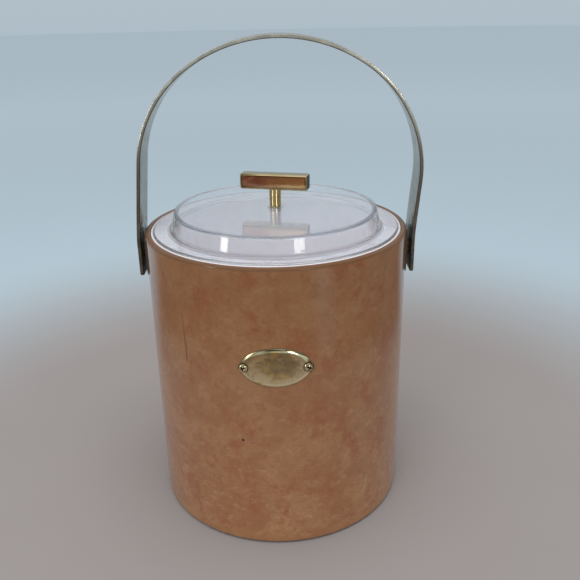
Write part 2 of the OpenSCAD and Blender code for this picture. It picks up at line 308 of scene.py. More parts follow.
def joined(first, *others):
    """Joins the meshes of several pieces into the first one."""
    together = bmesh.new()
    for piece in (first, *others):
        together.from_mesh(settle(piece).data)
    together.to_mesh(first.data)
    together.free()
    for piece in others:
        bpy.data.objects.remove(piece)
    return shaded(first)


# ---------- material helpers ----------

class Nodes:
    """Short ways to add nodes to a tree."""

    def __init__(self, tree):
        self.nodes, self.links = tree.nodes, tree.links

    def fill(self, socket, source):
        """Links a node's output to a socket or gives it a value. None leaves it alone."""
        if isinstance(source, bpy.types.NodeSocket):
            self.links.new(source, socket)
        elif source is not None:
            color = socket.type == "RGBA" and len(source) == 3
            socket.default_value = (*source, 1) if color else source

    def plug(self, node, **sources):
        """Fills a node's sockets by name."""
        for key, source in sources.items():
            self.fill(node.inputs[key.replace("_", " ")], source)

    def node(self, kind, *sources, **settings):
        """Adds a node and fills its sockets in order."""
        made = self.nodes.new("ShaderNode" + kind)
        for key, value in settings.items():
            setattr(made, key, value)
        for socket, source in zip(made.inputs, sources):
            self.fill(socket, source)
        return made

    def calc(self, kind, a, b=None):
        return self.node("Math", a, b, operation=kind).outputs[0]

    def plus(self, a, b):
        return self.calc("ADD", a, b)

    def minus(self, a, b):
        return self.calc("SUBTRACT", a, b)

    def times(self, first, *others):
        for other in others:
            first = self.calc("MULTIPLY", first, other)
        return first

    def most(self, a, b):
        return self.calc("MAXIMUM", a, b)

    def size(self, a):
        """The value without its sign."""
        return self.calc("ABSOLUTE", a)

    def length(self, a, b):
        """How long the vector (a, b) is."""
        return self.calc("POWER", self.plus(self.times(a, a), self.times(b, b)), 0.5)

    def vector(self, kind, a, b=None):
        """Vector arithmetic. DISTANCE and DOT_PRODUCT give a number, the others a vector."""
        made = self.node("VectorMath", a, b, operation=kind)
        return made.outputs["Value" if kind in ("DISTANCE", "DOT_PRODUCT") else "Vector"]

    def ramp(self, value, low, high, out_low=0.0, out_high=1.0, smooth=True):
        """Maps value from low..high to out_low..out_high, held at the ends."""
        made = self.node("MapRange", value, low, high, out_low, out_high)
        made.interpolation_type = "SMOOTHSTEP" if smooth else "LINEAR"
        return made.outputs[0]

    def blend(self, share, a, b, kind="MIX"):
        """Mixes two colours."""
        made = self.node("Mix", data_type="RGBA", blend_type=kind)
        for place, source in ((0, share), (6, a), (7, b)):
            self.fill(made.inputs[place], source)
        return made.outputs[2]

    def relief(self, height, distance, strength=1.0, before=None):
        """Bumps the surface by height, where 1 stands distance metres proud."""
        made = self.node("Bump")
        self.plug(made, Strength=strength, Distance=distance, Height=height, Normal=before)
        return made.outputs[0]


class Surface(Nodes):
    """A procedural material with a Principled shader. place is the place on the piece, and x, y and z
    are its parts."""

    def __init__(self, name, **plain):
        self.material = bpy.data.materials.new(name)
        self.material.use_nodes = True
        super().__init__(self.material.node_tree)
        self.shader = self.nodes["Principled BSDF"]
        self.set(**plain)
        self.place = self.node("TexCoord").outputs["Object"]
        self.x, self.y, self.z = self.node("SeparateXYZ", self.place).outputs

    def set(self, **sources):
        self.plug(self.shader, **sources)

    def off_axis(self):
        """How far the place is from the Z axis."""
        return self.length(self.x, self.y)

    def cloud(self, scale, detail=4.0, rough=0.5, warp=0.0, squeeze=(1, 1, 1)):
        """Soft noise from 0 to 1, with scale in cells per metre and squeeze more of them along an axis."""
        made = self.node("TexNoise", self.vector("MULTIPLY", self.place, squeeze))
        self.plug(made, Scale=scale, Detail=detail, Roughness=rough, Distortion=warp)
        return made.outputs["Fac"]


# ---------- materials ----------

def vinyl_material():
    """Mottled caramel vinyl under a clear gloss: red-brown clouds, straw flecks that grow denser towards
    the foot and a tone paler at the foot and darker at the top, both painted bounce light from the
    floor, a fine grain across, a darker top edge, and painted shade in one crease and one small pit."""
    s = Surface("mottled_vinyl", IOR=1.45, Specular_IOR_Level=0.15, Coat_Roughness=0.05, Coat_IOR=1.5)
    caramel, straw, pale = (0.360, 0.153, 0.062), (0.425, 0.208, 0.093), (0.560, 0.330, 0.180)
    red_brown, dark = (0.345, 0.117, 0.046), (0.225, 0.092, 0.037)
    hem_color, handled_color = (0.42, 0.190, 0.070), (0.150, 0.072, 0.032)
    crease_shade_color, pit_shade_color = (0.130, 0.050, 0.022), (0.03, 0.012, 0.006)
    pit_place = (-23.1 * MM, -89.0 * MM, 84.7 * MM)
    crease_angle = radians(-40.2)
    crease_low, crease_middle, crease_high = 133 * MM, 152 * MM, 182 * MM
    crease_slant = 0.0487

    # painted bounce light from the floor: the paler straw, smears and flecks grow denser towards the foot
    lower = s.ramp(s.z, 0.0, 0.19, 1.0, 0.0, False)

    def spread(mask, low, high):
        """A mask that is weakened to low at the top and to high at the foot."""
        return s.times(mask, s.ramp(lower, 0, 1, low, high, False))

    patches = s.ramp(s.cloud(38, 8, 0.68, 0.2), 0.42, 0.60)
    color = s.blend(spread(patches, 0.55, 1.0), caramel, straw)
    reds = s.ramp(s.cloud(50, 8, 0.68, 0.2, (1.0, 1.0, 0.8)), 0.50, 0.64)
    color = s.blend(s.times(reds, 0.9), color, red_brown)
    shade = s.ramp(s.cloud(210, 7, 0.75, 0.1), 0.50, 0.70)
    color = s.blend(s.times(shade, 0.50), color, dark)
    smears = s.ramp(s.cloud(105, 8, 0.78, 0.1, (1, 1, 1.4)), 0.50, 0.70)
    color = s.blend(spread(smears, 0.22, 0.66), color, pale)
    flecks = s.ramp(s.cloud(430, 5, 0.75, 0.0, (1, 1, 1.3)), 0.52, 0.70)
    color = s.blend(spread(flecks, 0.14, 0.34), color, pale)
    grain = s.cloud(800, 3, 0.6, 0.0, (0.35, 0.35, 2.2))
    color = s.blend(s.ramp(grain, 0.35, 0.75, 0.0, 0.20), color, dark)
    # painted bounce light from the floor: paler towards the foot, darker towards the top
    painted_bounce = s.ramp(s.z, 0.0, 0.2, 1.12, 0.84, False)
    color = s.blend(1.0, color, painted_bounce, "MULTIPLY")
    color = s.blend(s.ramp(s.z, 2 * MM, 12 * MM, 0.5, 0.0), color, hem_color)
    handled = s.ramp(s.z, BODY_H - 2.4 * MM, BODY_H - 0.8 * MM)
    color = s.blend(s.times(handled, 0.85), color, handled_color)

    pit = s.ramp(s.vector("DISTANCE", s.place, pit_place), 0.75 * MM, 1.15 * MM, 1, 0)
    across = s.vector("DOT_PRODUCT", s.place, (cos(crease_angle), sin(crease_angle), 0))
    wander = s.ramp(s.cloud(60, 2), 0.3, 0.7, -0.4 * MM, 0.4 * MM, False)
    slant = s.times(s.minus(s.z, crease_middle), crease_slant)
    beside = s.size(s.plus(s.plus(across, slant), wander))
    crease = s.times(s.ramp(beside, 0.25 * MM, 1.0 * MM, 1, 0),
                     s.ramp(s.z, crease_low, crease_low + 3 * MM),
                     s.ramp(s.z, crease_low + 8 * MM, crease_high, 1, 0),
                     s.ramp(s.y, -20 * MM, -10 * MM, 1, 0))
    # painted shade darkens the crease
    color = s.blend(s.times(crease, 0.7), color, crease_shade_color)
    # painted shade darkens the pit
    color = s.blend(pit, color, pit_shade_color)
    s.set(Base_Color=color, Roughness=s.ramp(patches, 0, 1, 0.45, 0.55),
          Coat_Weight=s.ramp(handled, 0, 1, 1.0, 0.45, False))
    sag = s.cloud(38, 2, 0.4)
    marks = s.most(pit, s.times(crease, 0.15))
    dents = s.relief(s.minus(1.0, marks), 0.15 * MM, 0.5)
    low = s.relief(sag, 0.25 * MM, 0.5, dents)
    s.set(Normal=s.relief(s.cloud(900, 2, 0.5), 0.02 * MM, 0.5, low))
    s.set(Coat_Normal=s.relief(sag, 0.25 * MM, 0.35, dents))
    return s.material


def liner_material():
    """White moulded plastic with painted shade on the seat under the lid's flange, faint flow marks and
    dust.
    """
    s = Surface("liner_white", IOR=1.5, Subsurface_Weight=0.15, Subsurface_Scale=2 * MM)
    top, dust_color = LINER_HIGH.z, (0.66, 0.65, 0.67)
    age = s.ramp(s.cloud(18, 3), 0.35, 0.7)
    color = s.blend(age, (0.87, 0.86, 0.92), (0.84, 0.83, 0.87))
    # painted shade on the seat and step under the lid's flange: darker, bluer and streaked
    seat = s.times(s.ramp(s.z, top - 3 * MM, top - 2.4 * MM), s.ramp(s.off_axis(), 77 * MM, 78 * MM))
    streaks = s.ramp(s.cloud(26, 4, 0.6, 0.4, (1, 3, 1)), 0.35, 0.65)
    seat_shade = s.blend(streaks, (0.60, 0.62, 0.70), (0.70, 0.71, 0.78))
    color = s.blend(seat, color, seat_shade)
    color = s.blend(s.ramp(s.z, top - 1.4 * MM, top - 0.6 * MM), color, (0.90, 0.87, 0.91))
    color = s.blend(s.ramp(s.cloud(700, 2), 0.62, 0.8, 0.0, 0.25), color, dust_color)
    s.set(Base_Color=color, Roughness=s.ramp(s.cloud(90, 4), 0.3, 0.7, 0.24, 0.38))
    s.set(Normal=s.relief(s.cloud(260, 3, 0.5, 0, (1, 1, 0.3)), 0.03 * MM, 0.4))
    return s.material


def acrylic_material():
    """Clear acrylic with fine scratches, a hazed top, a greyer flange, a dull broken line of painted shade
    round the shoulder and a slightly frosted rim: lamps reach through it."""
    s = Surface("clear_acrylic", IOR=1.49, Transmission_Weight=0.95)
    clear, haze, flange = (0.99, 0.985, 1.0), (0.84, 0.90, 0.95), (0.83, 0.835, 0.86)
    shoulder_shade_color = (0.30, 0.31, 0.42)
    top, flange_r = LID_HIGH.z, LID_HIGH.x
    scuffs = s.ramp(s.cloud(160, 5, 0.65, 1.5), 0.52, 0.8, 0.015, 0.10)
    off = s.off_axis()
    upper = s.ramp(s.z, top - 2.6 * MM, top - 1.4 * MM)
    rim = s.ramp(off, flange_r - 1.5 * MM, flange_r - 0.5 * MM, 0.0, 0.30)
    shoulder = s.times(s.ramp(off, LID_TOP_R - 1.8 * MM, LID_TOP_R - 0.8 * MM), upper)
    s.set(Roughness=s.plus(scuffs, s.most(rim, s.times(shoulder, 0.20))))
    color = s.blend(upper, clear, haze)
    above = LID_LOW.z + LID_FLANGE_T
    color = s.blend(s.ramp(s.z, above + 0.1 * MM, above + 1.5 * MM, 1, 0), color, flange)
    # painted shade: a dark band along the shoulder's top edge, broken by noise
    line = s.times(s.ramp(off, LID_TOP_R - 3.8 * MM, LID_TOP_R - 0.4 * MM),
                   s.ramp(s.z, top - 1.2 * MM, top - 0.6 * MM))
    broken = s.ramp(s.cloud(40, 4, 0.6), 0.35, 0.65, 0.6, 1.0)
    s.set(Base_Color=s.blend(s.times(line, broken), color, shoulder_shade_color))
    s.set(Normal=s.relief(s.cloud(24, 2, 0.4), 0.10 * MM, 0.35))
    through = s.node("BsdfTransparent", (1, 1, 1, 1))
    light = s.node("LightPath")
    mix = s.node("MixShader", light.outputs["Is Shadow Ray"], s.shader.outputs[0],
                 through.outputs[0])
    s.plug(s.nodes["Material Output"], Surface=mix.outputs[0])
    return s.material


def metal(name, bright, tarnish, stain, rough_low, rough_high, brush=(1, 1, 1), brush_depth=0.01 * MM):
    """Plated metal with cloudy tarnish, darker stains and fine brush lines along the stretched axis. Gives
    the surface with its colour and roughness, not plugged in yet."""
    s = Surface(name)
    cloudy = s.ramp(s.cloud(55, 5, 0.6, 0.8), 0.38, 0.68)
    color = s.blend(cloudy, bright, tarnish)
    spots = s.ramp(s.cloud(240, 5, 0.65, 0.6), 0.60, 0.78, 0.0, 0.8)
    color = s.blend(spots, color, stain)
    lines = s.cloud(900, 4, 0.6, 0.0, brush)
    rough = s.plus(s.ramp(cloudy, 0, 1, rough_low, rough_high), s.ramp(lines, 0.3, 0.7, -0.04, 0.04))
    s.set(Normal=s.relief(lines, brush_depth, 0.5))
    return s, color, rough


def darkened(s, color, rough, grime_and_shade):
    """Plugs the metal in, gone dark and dull where the mask is 1: real tarnish and painted shade alike."""
    s.set(Base_Color=s.blend(grime_and_shade, color, (0.060, 0.043, 0.030)),
          Roughness=s.ramp(grime_and_shade, 0, 1, rough, 0.60, False),
          Metallic=s.ramp(grime_and_shade, 0, 1, 1.0, 0.4, False))
    return s.material


def steel_material():
    s, color, rough = metal("zinc_steel", (0.80, 0.80, 0.80), (0.66, 0.65, 0.63), (0.42, 0.38, 0.32),
                            0.32, 0.45)
    s.set(Base_Color=color, Roughness=rough, Metallic=1.0)
    return s.material


def bail_material():
    """The bail's dulled plating: rubbed bright along the edges of the arch, a dark line of painted shade
    along their inner side, dark tarnish that climbs from the pivots, higher at the front, and painted
    shade on the pivot plates behind the bail's ends."""
    s, color, rough = metal("tarnished_bail", (0.275, 0.240, 0.190), (0.225, 0.192, 0.140),
                            (0.14, 0.112, 0.075), 0.12, 0.22, (4, 0.15, 4))
    leg_edge, arch_edge = (0.30, 0.285, 0.240), (0.92, 0.86, 0.70)
    half, inside = BAIL_W / 2, BAIL_HALF - BAIL_T
    beside = s.size(s.y)
    edge = s.ramp(beside, half - 1.1 * MM, half - 0.3 * MM)
    rubbed = s.ramp(s.cloud(55, 5, 0.65, 0.3), 0.40, 0.60, 1.0, 0.6)
    edge_color = s.blend(s.ramp(s.z, 235 * MM, 305 * MM), leg_edge, arch_edge)
    color = s.blend(s.times(edge, rubbed), color, edge_color)

    wander = s.ramp(s.cloud(110, 5, 0.65, 0.6), 0.3, 0.7, -9 * MM, 9 * MM, False)
    level = s.plus(s.plus(s.z, wander), s.times(s.y, 0.6))
    mottled = s.ramp(s.cloud(260, 4, 0.65), 0.35, 0.62, 0.95, 0.5)
    low = s.times(s.ramp(level, PIVOT_Z + 3.5 * MM, PIVOT_Z + 23.5 * MM, 1, 0), mottled)
    # painted shade on the pivot plates behind the bail's ends
    plates = s.times(s.ramp(s.size(s.x), inside - 1.4 * MM, inside - 0.6 * MM, 0.85, 0.0),
                     s.ramp(s.z, 205 * MM, 210 * MM, 1, 0))
    flecks = s.ramp(s.cloud(75, 5, 0.7, 0.4), 0.48, 0.70, 0.0, 0.35)
    grime_and_shade = s.most(s.most(low, plates), s.times(edge, flecks))

    # painted shade: the inward-facing half of the band's rounded edges is made dark
    outwards = s.vector("SUBTRACT", s.place, (0, 0, 238 * MM))
    outwards = s.vector("NORMALIZE", s.vector("MULTIPLY", outwards, (1, 0, 1)))
    facing = s.vector("DOT_PRODUCT", s.node("TexCoord").outputs["Normal"], outwards)
    inner_edge_shade = s.times(s.ramp(facing, -0.30, 0.12, 0.95, 0.0),
                         s.ramp(beside, half - BAIL_EDGE, half - BAIL_EDGE + 0.2 * MM),
                         s.ramp(s.z, 205 * MM, 215 * MM))
    return darkened(s, color, rough, s.most(grime_and_shade, inner_edge_shade))


def brass_material():
    """Polished brass: painted reflections on the bar, brown on its faces between the chamfers, dark on its
    ends and olive on its top; a deeper yellow stem; and dark tarnish at the pivots, with painted shade on
    the collars between plate and bail."""
    s, color, rough = metal("polished_brass", (0.82, 0.68, 0.39), (0.72, 0.57, 0.31), (0.40, 0.26, 0.13),
                            0.06, 0.14, (0.2, 3, 3), 0.004 * MM)
    brown_dark, brown_light, rosy_color = (0.55, 0.27, 0.175), (0.88, 0.55, 0.24), (0.84, 0.50, 0.36)
    shade, frame_color = (0.30, 0.150, 0.075), (0.17, 0.115, 0.045)
    top_reflection_color, stem_color = (0.37, 0.335, 0.185), (0.42, 0.29, 0.105)
    foot, top = BAR_LOW.z, BAR_HIGH.z
    flat = [half - BAR_CHAMFER for half in (BAR_L / 2, BAR_W / 2, (top - foot) / 2)]

    along = s.vector("DOT_PRODUCT", s.place, (cos(BAR_TURN), sin(BAR_TURN), 0))
    across = s.vector("DOT_PRODUCT", s.place, (-sin(BAR_TURN), cos(BAR_TURN), 0))
    up = s.minus(s.z, (foot + top) / 2)
    length, depth, height = [s.ramp(s.size(place), reach - 0.2 * MM, reach + 0.05 * MM, 1, 0)
                             for place, reach in zip((along, across, up), flat)]
    bar = s.ramp(s.z, foot - 0.3 * MM, foot + 0.2 * MM)
    # painted reflection: the bar's upright faces brown, darker towards their lower edge and round their
    # border
    face = s.times(s.most(s.times(length, height), s.times(depth, height)), bar)
    shift = s.ramp(s.cloud(70, 4, 0.6, 0.8), 0.3, 0.7, -14 * MM, 14 * MM, False)
    drift = s.ramp(s.plus(along, shift), -16 * MM, 14 * MM)
    brown = s.blend(drift, brown_dark, brown_light)
    rosy = s.ramp(s.cloud(85, 4, 0.6, 1.0, (0.6, 1, 1.4)), 0.48, 0.60, 0.0, 0.8)
    rosy = s.times(rosy, s.ramp(drift, 0, 1, 1.0, 0.25, False))
    brown = s.blend(rosy, brown, rosy_color)
    brown = s.blend(s.ramp(up, -4.0 * MM, -1.0 * MM, 0.75, 0.0), brown, shade)
    border = s.most(s.ramp(s.size(up), flat[2] - 1.3 * MM, flat[2] - 0.6 * MM),
                    s.ramp(s.size(along), flat[0] - 1.3 * MM, flat[0] - 0.6 * MM))
    brown = s.blend(s.times(border, 0.78), brown, frame_color)
    color = s.blend(face, color, brown)
    # painted reflection: the bar's top face olive
    color = s.blend(s.times(length, depth, s.ramp(s.z, top - 0.4 * MM, top - 0.2 * MM)), color, top_reflection_color)
    stem = s.times(s.ramp(s.z, foot - 0.1 * MM, foot + 0.1 * MM, 1, 0),
                   s.ramp(s.z, 215 * MM, 216 * MM))
    color = s.blend(s.times(stem, 0.65), color, stem_color)
    # painted dark reflection on the bar's end faces
    ends = s.times(s.ramp(s.size(along), BAR_L / 2 - 0.7 * MM, BAR_L / 2 - 0.4 * MM, 0.0, 0.92), bar)
    # mottled real tarnish at the pivots, plus painted shade on the collars in the gap between plate and
    # bail, where the mask is strongest
    pivots = s.times(s.ramp(s.z, BODY_H - 6 * MM, BODY_H, 1, 0),
                     s.ramp(s.cloud(320, 3, 0.6), 0.42, 0.60, 0.85, 0.15),
                     s.ramp(s.size(s.x), BAIL_HALF, BAIL_HALF + 0.6 * MM, 1.0, 0.3))
    return darkened(s, color, rough, s.most(pivots, ends))


def plaque_material():
    """The oval plate's brass: olive and grey tarnish with yellow patches, and painted shade along the
    plate's edge, round the screws and in their cross recesses."""
    s = Surface("tarnished_plaque", Metallic=1.0)
    olive, yellow, pale = (0.55, 0.465, 0.265), (0.93, 0.70, 0.28), (0.97, 0.86, 0.56)
    grey, brown, painted_shade_color = (0.36, 0.29, 0.18), (0.26, 0.19, 0.115), (0.035, 0.026, 0.018)
    broad = s.ramp(s.cloud(62, 4, 0.6, 1.2, (1, 1, 1.2)), 0.38, 0.64)
    color = s.blend(broad, olive, yellow)
    light = s.ramp(s.cloud(52, 4, 0.6, 0.8, (0.8, 1, 1.6)), 0.42, 0.60)
    color = s.blend(s.times(light, 0.9), color, pale)
    color = s.blend(s.ramp(s.cloud(75, 3, 0.6, 0.5), 0.50, 0.62, 0.0, 0.55), color, grey)
    spots = s.ramp(s.cloud(260, 6, 0.7, 0.6), 0.52, 0.74, 0.0, 0.6)
    color = s.blend(spots, color, brown)
    lines = s.cloud(900, 4, 0.6, 0.0, (2.4, 2.4, 0.5))
    color = s.blend(s.ramp(lines, 0.50, 0.75, 0.0, 0.25), color, brown)

    off = s.off_axis()
    screw_x = BODY_R * sin(PLAQUE_SCREW_ANGLE)
    ring = s.length(s.minus(s.size(s.x), screw_x), s.minus(s.z, PLAQUE_Z))
    # painted shade: a ring round each screw head, the cross recesses and a line along the plate's low edge
    round_screw = s.times(s.ramp(ring, 2.5 * MM, 2.9 * MM), s.ramp(ring, 3.1 * MM, 4.0 * MM, 1, 0))
    cross = s.times(s.ramp(off, BODY_R + 2.15 * MM, BODY_R + 2.4 * MM, 1, 0),
                    s.ramp(ring, 1.8 * MM, 2.1 * MM, 1, 0))
    outline = s.ramp(off, BODY_R + 0.2 * MM, BODY_R + 0.45 * MM, 0.8, 0.0)
    painted_shade = s.most(s.most(s.times(round_screw, 0.85), cross), outline)
    color = s.blend(painted_shade, color, painted_shade_color)
    rough = s.plus(s.ramp(broad, 0, 1, 0.20, 0.13), s.ramp(spots, 0, 1, 0.0, 0.10))
    s.set(Base_Color=color, Roughness=s.plus(rough, s.times(painted_shade, 0.3)))
    s.set(Normal=s.relief(lines, 0.012 * MM, 0.5))
    return s.material


def board_material():
    s = Surface("grey_board", Roughness=0.9)
    fibres = s.cloud(500, 5, 0.65, 0.5, (1, 1, 0.4))
    s.set(Base_Color=s.blend(s.ramp(fibres, 0.3, 0.7), (0.30, 0.23, 0.15), (0.44, 0.35, 0.24)))
    s.set(Normal=s.relief(fibres, 0.08 * MM, 0.6))
    return s.material


def foam_material():
    s = Surface("bead_foam", Roughness=0.75, Subsurface_Weight=0.2, Subsurface_Scale=2 * MM)
    beads = s.node("TexVoronoi", s.place)
    s.plug(beads, Scale=330)
    edge = s.ramp(beads.outputs["Distance"], 0.25, 0.75)
    s.set(Base_Color=s.blend(edge, (0.88, 0.88, 0.88), (0.70, 0.70, 0.71)))
    s.set(Normal=s.relief(s.minus(1.0, edge), 0.3 * MM, 0.6))
    return s.material


def felt_material():
    s = Surface("brown_felt", Roughness=1.0, Sheen_Weight=0.4, Sheen_Roughness=0.5)
    fluff = s.cloud(1400, 6, 0.75, 1.0)
    s.set(Base_Color=s.blend(s.ramp(fluff, 0.3, 0.7), (0.045, 0.028, 0.018), (0.11, 0.075, 0.05)))
    s.set(Normal=s.relief(fluff, 0.3 * MM, 0.8))
    return s.material


MATERIALS = {
    "vinyl": vinyl_material(),
    "liner_plastic": liner_material(),
    "clear_acrylic": acrylic_material(),
    "handle_metal": bail_material(),
    "polished_brass": brass_material(),
    "plaque_brass": plaque_material(),
    "steel": steel_material(),
    "board": board_material(),
    "foam": foam_material(),
    "felt": felt_material(),
}


def paint(piece, slot):
    piece.data.materials.clear()
    piece.data.materials.append(MATERIALS[slot])


def dress(piece, slot, body, *nodes):
    """Gives a piece its material, its body and the CAD nodes that it stands for."""
    paint(piece, slot)
    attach(piece, body)
    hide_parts(*nodes)
    return piece


# ---------- body ----------

def vinyl_wrap():
    """The skin over the tube: round at the top edge, turned in at the mouth and under the foot, with its
    two ends curling into the seam at the back."""
    low = WRAP_LOW.z
    outline = divided(rounded([
        (BODY_R - HEM_W, low), (BODY_R, low, 1.3 * MM), (BODY_R, BODY_H, 1.6 * MM),
        (HEM_IN_R, BODY_H, 0.6 * MM), (HEM_IN_R, BODY_H - INNER_HEM),
        (TUBE_IN_R, BODY_H - INNER_HEM), (TUBE_IN_R, BODY_H - WRAP_T),
        (BODY_R - WRAP_T, BODY_H - WRAP_T, 0.9 * MM), (BODY_R - WRAP_T, low + WRAP_T, 0.6 * MM),
        (BODY_R - HEM_W, low + WRAP_T)
    ]), 5 * MM)
    lip = 0.5 * MM
    pucker_h, pucker_off, pucker_w, wave_h = 0.12 * MM, 3 * MM, 2 * MM, 0.06 * MM
    full = 2 * pi
    fine = [SEAM_HALF / BODY_R + lip * share / BODY_R for share in (0, 0.1, 0.3, 0.6, 1, 2, 4, 8)]
    span = full - 2 * fine[-1]
    angles = fine + [fine[-1] + span * k / TURN_STEPS for k in range(1, TURN_STEPS)]
    angles += [full - a for a in fine[::-1]]
    rings = []
    for angle in angles:
        off = min(angle, full - angle) * BODY_R - SEAM_HALF
        curl = lip - sqrt(max(0.0, lip ** 2 - (lip - off) ** 2)) if off < lip else 0
        pucker = pucker_h * exp(-((off - pucker_off) / pucker_w) ** 2)
        around = Vector((cos(angle), sin(angle), 0))
        ring = []
        for p in outline:
            outside = max(0.0, min(1.0, (p.x - HEM_IN_R) / (BODY_R - HEM_IN_R)))
            wave = wave_h * noise.noise(around * 3 + UP * p.y * 25)
            r = p.x + outside * (wave + pucker * noise.noise(UP * p.y * 60) - 0.5 * curl)
            ring.append(Vector((-r * sin(angle), r * cos(angle), p.y)))
        rings.append(ring)
    piece = skin("vinyl_wrap_skin", rings, smooth_angle=radians(40), fill=True)
    return dress(piece, "vinyl", "bucket", "vinyl_wrap")


def liner():
    """The moulded liner: rim, the step that the lid sits in, tapered wall and rounded floor."""
    wall, slope, mouth_r, floor_r = 2.2 * MM, 7 * MM, 76.5 * MM, 71.5 * MM
    low, floor_z = LINER_LOW.z, LINER_LOW.z + wall
    rim_r, seat_r = LINER_HIGH.x, LINER_HIGH.x - 1.3 * MM
    top = LINER_HIGH.z
    seat_z = top - 2.1 * MM
    ledge_z = seat_z - 2 * MM
    gate_r, gate_h = 3.5 * MM, 0.5 * MM
    corners = [
        (0, low), (floor_r + wall - slope, low, 4 * MM), (floor_r + wall, low + slope, 4 * MM),
        (mouth_r + wall, ledge_z, 0.8 * MM), (rim_r, ledge_z, 0.3 * MM), (rim_r, top, 0.5 * MM),
        (seat_r, top, 0.45 * MM), (seat_r, seat_z, 0.4 * MM), (mouth_r, seat_z, 0.8 * MM),
        (floor_r, floor_z + slope, 6 * MM), (floor_r - slope, floor_z, 6 * MM),
        (gate_r * 1.6, floor_z, 0.3 * MM), (gate_r, floor_z + gate_h, 0.3 * MM), (0, floor_z + gate_h)
    ]
    return dress(lathe("liner_moulding", corners), "liner_plastic", "bucket", "liner")


def base_pad():
    """The felt pad under the foot, with a soft edge."""
    r, h = PAD_HIGH.x, PAD_HIGH.z
    piece = lathe("felt_pad", [(0, 0), (r, 0, 0.3 * MM), (r, h, 0.4 * MM), (0, h)])
    return dress(piece, "felt", "bucket", "base_pad")


# ---------- lid and knob ----------

def lid_cover():
    """The clear lid: flange, a fillet up to the sloping wall, and the raised top with a round edge."""
    flange_r, wall, foot_r, bore_r = LID_HIGH.x, 1.8 * MM, 73.8 * MM, 2.2 * MM
    low, top = LID_LOW.z, LID_HIGH.z
    flange_top = low + LID_FLANGE_T
    corners = [
        (bore_r, top - wall, 0.15 * MM), (LID_TOP_R - wall, top - wall, 1.8 * MM),
        (foot_r - wall, low, 0.8 * MM), (flange_r, low, 0.4 * MM), (flange_r, flange_top, 0.9 * MM),
        (foot_r, flange_top, 2.2 * MM), (LID_TOP_R, top, 1.4 * MM), (bore_r, top, 0.2 * MM)
    ]
    return dress(lathe("lid_moulding", corners, 256), "clear_acrylic", "lid", "lid_cover")


def knob_bar():
    """The brass cross bar: chamfered all round, its edges just broken, with the stem's hole below."""
    height = BAR_HIGH.z - BAR_LOW.z
    shape = bmesh.new()
    bmesh.ops.create_cube(shape, size=1)
    bmesh.ops.scale(shape, vec=(BAR_L, BAR_W, height), verts=shape.verts)
    bmesh.ops.bevel(shape, geom=shape.edges[:], offset=BAR_CHAMFER, segments=1, affect="EDGES")
    bmesh.ops.bevel(shape, geom=shape.edges[:], offset=0.14 * MM, segments=2, profile=0.5, affect="EDGES")
    smallest = 4e-6              # square metres; the chamfers are smaller
    broad = [f for f in shape.faces if f.calc_area() > smallest]
    bmesh.ops.inset_individual(shape, faces=broad, thickness=0.1 * MM)
    piece = piece_of("knob_bar_brass", shape, radians(24))
    middle = Matrix.Translation((0, 0, (BAR_HIGH.z + BAR_LOW.z) / 2))
    placed(piece, middle @ Matrix.Rotation(BAR_TURN, 4, "Z"))
    hole_r, hole_low, hole_top = 2.85 * MM, BAR_LOW.z - MM, STEM_HIGH.z
    corners = [(0, hole_low), (hole_r, hole_low), (hole_r, hole_top), (0, hole_top)]
    carve(piece, lathe("hole", corners, 48))
    return dress(piece, "polished_brass", "knob", "knob_bar")


def knob_stem():
    """The turned stem: a plain barrel with the knob screw's bore, and the tenon that goes into the bar."""
    r, tenon_r, bore_r = STEM_HIGH.x, 2.8 * MM, 2.02 * MM
    low, shoulder, top = STEM_LOW.z, BAR_LOW.z, STEM_HIGH.z
    bore_top = low + 10 * MM
    corners = [
        (bore_r, low), (r, low, 0.25 * MM), (r, shoulder, 0.2 * MM), (tenon_r, shoulder),
        (tenon_r, top, 0.3 * MM), (0, top), (0, bore_top), (bore_r, bore_top)
    ]
    return dress(lathe("knob_stem_brass", corners, 96), "polished_brass", "knob", "knob_stem")


def knob_washer():
    r, bore_r, low, top = WASHER_HIGH.x, 2.2 * MM, WASHER_LOW.z, WASHER_HIGH.z
    corners = [(bore_r, low, 0.1 * MM), (r, low, 0.2 * MM), (r, top, 0.2 * MM), (bore_r, top, 0.1 * MM)]
    return dress(lathe("knob_washer_steel", corners, 72), "steel", "knob", "knob_washer")


def knob_screw():
    """The screw under the lid: threaded shank and a slotted cheese head with a soft rim."""
    low, top = SCREW_LOW.z, SCREW_HIGH.z
    head_r, head_top, shank_r = 3.8 * MM, WASHER_LOW.z, 2 * MM
    pitch, depth = 0.7 * MM, 0.25 * MM
    corners = [(0, low), (head_r, low, 0.6 * MM), (head_r, head_top, 0.1 * MM), (shank_r, head_top)]
    z = head_top + pitch
    while z < top - 2 * pitch:
        corners += [(shank_r, z), (shank_r - depth, z + pitch / 2)]
        z += pitch
    corners += [(shank_r, z), (shank_r - depth, top), (0, top)]
    piece = lathe("knob_screw_steel", corners, 72)
    reach, slot_half, slot_depth = 2 * head_r, 0.6 * MM, 1.1 * MM
    carve(piece, block((-reach, -slot_half, low - MM), (reach, slot_half, low + slot_depth)))
    return dress(round_edges(piece, 0.06 * MM), "steel", "knob", "knob_screw")


# ---------- bail ----------

def arc(centre, radius, start, end):
    """Points of an arc between two angles, both ends included."""
    count = max(2, ceil(abs(end - start) / ARC_STEP))
    return [centre + radius * Vector((cos(t), sin(t)))
            for t in (start + (end - start) * k / count for k in range(count + 1))]


